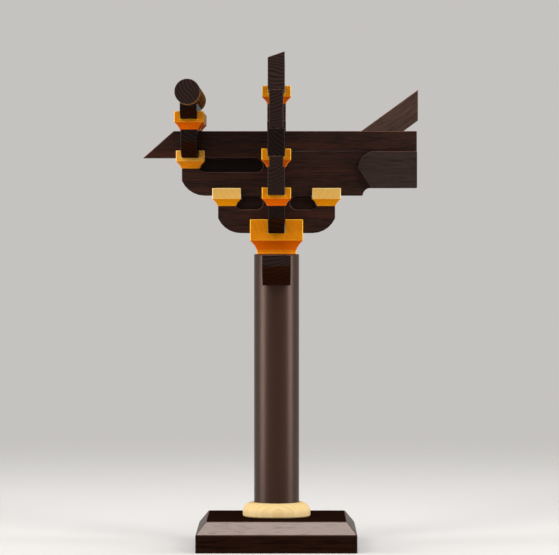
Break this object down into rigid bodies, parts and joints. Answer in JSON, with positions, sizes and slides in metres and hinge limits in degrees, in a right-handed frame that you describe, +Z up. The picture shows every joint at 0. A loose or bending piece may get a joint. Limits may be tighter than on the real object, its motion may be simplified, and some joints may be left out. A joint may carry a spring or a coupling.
{
  "type": "wooden bracket-set puzzle",
  "caption": "Interlocking wooden model of an eave bracket set: dark arms and beams on orange bearing blocks, on a round column with a square plinth; it lifts apart piece by piece.",
  "frame": {"origin": "on the column's axis at the underside of the square plinth", "axes": "+Z up along the column, +X towards the indoor ends of the beams (the thick end and the slanted strut), -X towards the beak and the purlin, Y along the wall beams and the purlin"},
  "size_m": [0.1269, 0.116, 0.2261],
  "materials": {
    "dark_timber": "dark brown-black hardwood, planed and waxed, satin",
    "column_wood": "turned dark hardwood with upright grain, oiled satin",
    "base_wood": "dark hardwood, planed, satin",
    "strut_wood": "slightly lighter dark hardwood, planed",
    "bearing_block_wood": "orange-yellow close-grained hardwood, sanded and waxed",
    "ring_wood": "pale yellow hardwood, turned and waxed",
    "peg_wood": "plain pale dowel"
  },
  "bodies": {
    "plinth": {"base_plinth": "base_wood", "column_ring": "ring_wood"},
    "column": {"column": "column_wood"},
    "front_tie_beam_head": {"front_tie_beam_head": "dark_timber"},
    "rear_tie_beam_head": {"rear_tie_beam_head": "dark_timber"},
    "cap_block": {"cap_block": "bearing_block_wood"},
    "wall_arm": {"wall_arm": "dark_timber", "wall_arm_front_block": "bearing_block_wood", "wall_arm_rear_block": "bearing_block_wood", "wall_arm_pegs": "peg_wood"},
    "projecting_arm": {"projecting_arm": "dark_timber", "outer_side_block": "bearing_block_wood", "inner_side_block": "bearing_block_wood", "side_block_pegs": "peg_wood"},
    "lower_wall_beam": {"lower_wall_beam": "dark_timber", "wall_beam_front_block": "bearing_block_wood", "wall_beam_rear_block": "bearing_block_wood", "wall_beam_pegs": "peg_wood"},
    "cross_beam": {"cross_beam": "dark_timber", "cross_block": "bearing_block_wood", "cross_block_peg": "peg_wood"},
    "purlin_arm": {"purlin_arm": "dark_timber", "purlin_arm_front_block": "bearing_block_wood", "purlin_arm_rear_block": "bearing_block_wood", "purlin_arm_pegs": "peg_wood"},
    "upper_wall_beam": {"upper_wall_beam": "dark_timber"},
    "beak_beam": {"beak_beam": "dark_timber", "centre_block": "bearing_block_wood", "centre_block_peg": "peg_wood"},
    "purlin_plate": {"purlin_plate": "dark_timber"},
    "round_purlin": {"round_purlin": "dark_timber"},
    "slant_strut": {"slant_strut": "strut_wood"},
    "camel_hump": {"camel_hump": "dark_timber", "hump_dowels": "peg_wood", "dish_plate": "dark_timber", "hump_block": "bearing_block_wood", "hump_block_peg": "peg_wood"},
    "front_infill_panel": {"front_infill_panel": "dark_timber", "front_panel_dowels": "peg_wood"},
    "rear_infill_panel": {"rear_infill_panel": "dark_timber", "rear_panel_dowels": "peg_wood"},
    "rafter_beam": {"rafter_beam": "dark_timber"}
  },
  "joints": [
    {"name": "column_lift", "type": "slide", "parent": "plinth", "child": "column", "axis": [0, 0, 1], "range_m": [0, 0.03]},
    {"name": "front_tie_beam_head_lift", "type": "slide", "parent": "column", "child": "front_tie_beam_head", "axis": [0, 0, 1], "range_m": [0, 0.03]},
    {"name": "rear_tie_beam_head_lift", "type": "slide", "parent": "front_tie_beam_head", "child": "rear_tie_beam_head", "axis": [0, 0, 1], "range_m": [0, 0.03]},
    {"name": "cap_block_lift", "type": "slide", "parent": "rear_tie_beam_head", "child": "cap_block", "axis": [0, 0, 1], "range_m": [0, 0.03]},
    {"name": "wall_arm_lift", "type": "slide", "parent": "cap_block", "child": "wall_arm", "axis": [0, 0, 1], "range_m": [0, 0.03]},
    {"name": "projecting_arm_lift", "type": "slide", "parent": "wall_arm", "child": "projecting_arm", "axis": [0, 0, 1], "range_m": [0, 0.03]},
    {"name": "lower_wall_beam_lift", "type": "slide", "parent": "projecting_arm", "child": "lower_wall_beam", "axis": [0, 0, 1], "range_m": [0, 0.03]},
    {"name": "cross_beam_lift", "type": "slide", "parent": "lower_wall_beam", "child": "cross_beam", "axis": [0, 0, 1], "range_m": [0, 0.03]},
    {"name": "purlin_arm_lift", "type": "slide", "parent": "cross_beam", "child": "purlin_arm", "axis": [0, 0, 1], "range_m": [0, 0.03]},
    {"name": "upper_wall_beam_lift", "type": "slide", "parent": "purlin_arm", "child": "upper_wall_beam", "axis": [0, 0, 1], "range_m": [0, 0.03]},
    {"name": "beak_beam_lift", "type": "slide", "parent": "upper_wall_beam", "child": "beak_beam", "axis": [0, 0, 1], "range_m": [0, 0.03]},
    {"name": "purlin_plate_lift", "type": "slide", "parent": "beak_beam", "child": "purlin_plate", "axis": [0, 0, 1], "range_m": [0, 0.03]},
    {"name": "round_purlin_lift", "type": "slide", "parent": "purlin_plate", "child": "round_purlin", "axis": [0, 0, 1], "range_m": [0, 0.03]},
    {"name": "slant_strut_lift", "type": "slide", "parent": "beak_beam", "child": "slant_strut", "axis": [0, 0, 1], "range_m": [0, 0.03]},
    {"name": "camel_hump_lift", "type": "slide", "parent": "beak_beam", "child": "camel_hump", "axis": [0, 0, 1], "range_m": [0, 0.03]},
    {"name": "front_infill_panel_lift", "type": "slide", "parent": "camel_hump", "child": "front_infill_panel", "axis": [0, 0, 1], "range_m": [0, 0.03]},
    {"name": "rear_infill_panel_lift", "type": "slide", "parent": "front_infill_panel", "child": "rear_infill_panel", "axis": [0, 0, 1], "range_m": [0, 0.03]},
    {"name": "rafter_beam_lift", "type": "slide", "parent": "rear_infill_panel", "child": "rafter_beam", "axis": [0, 0, 1], "range_m": [0, 0.03]}
  ]
}
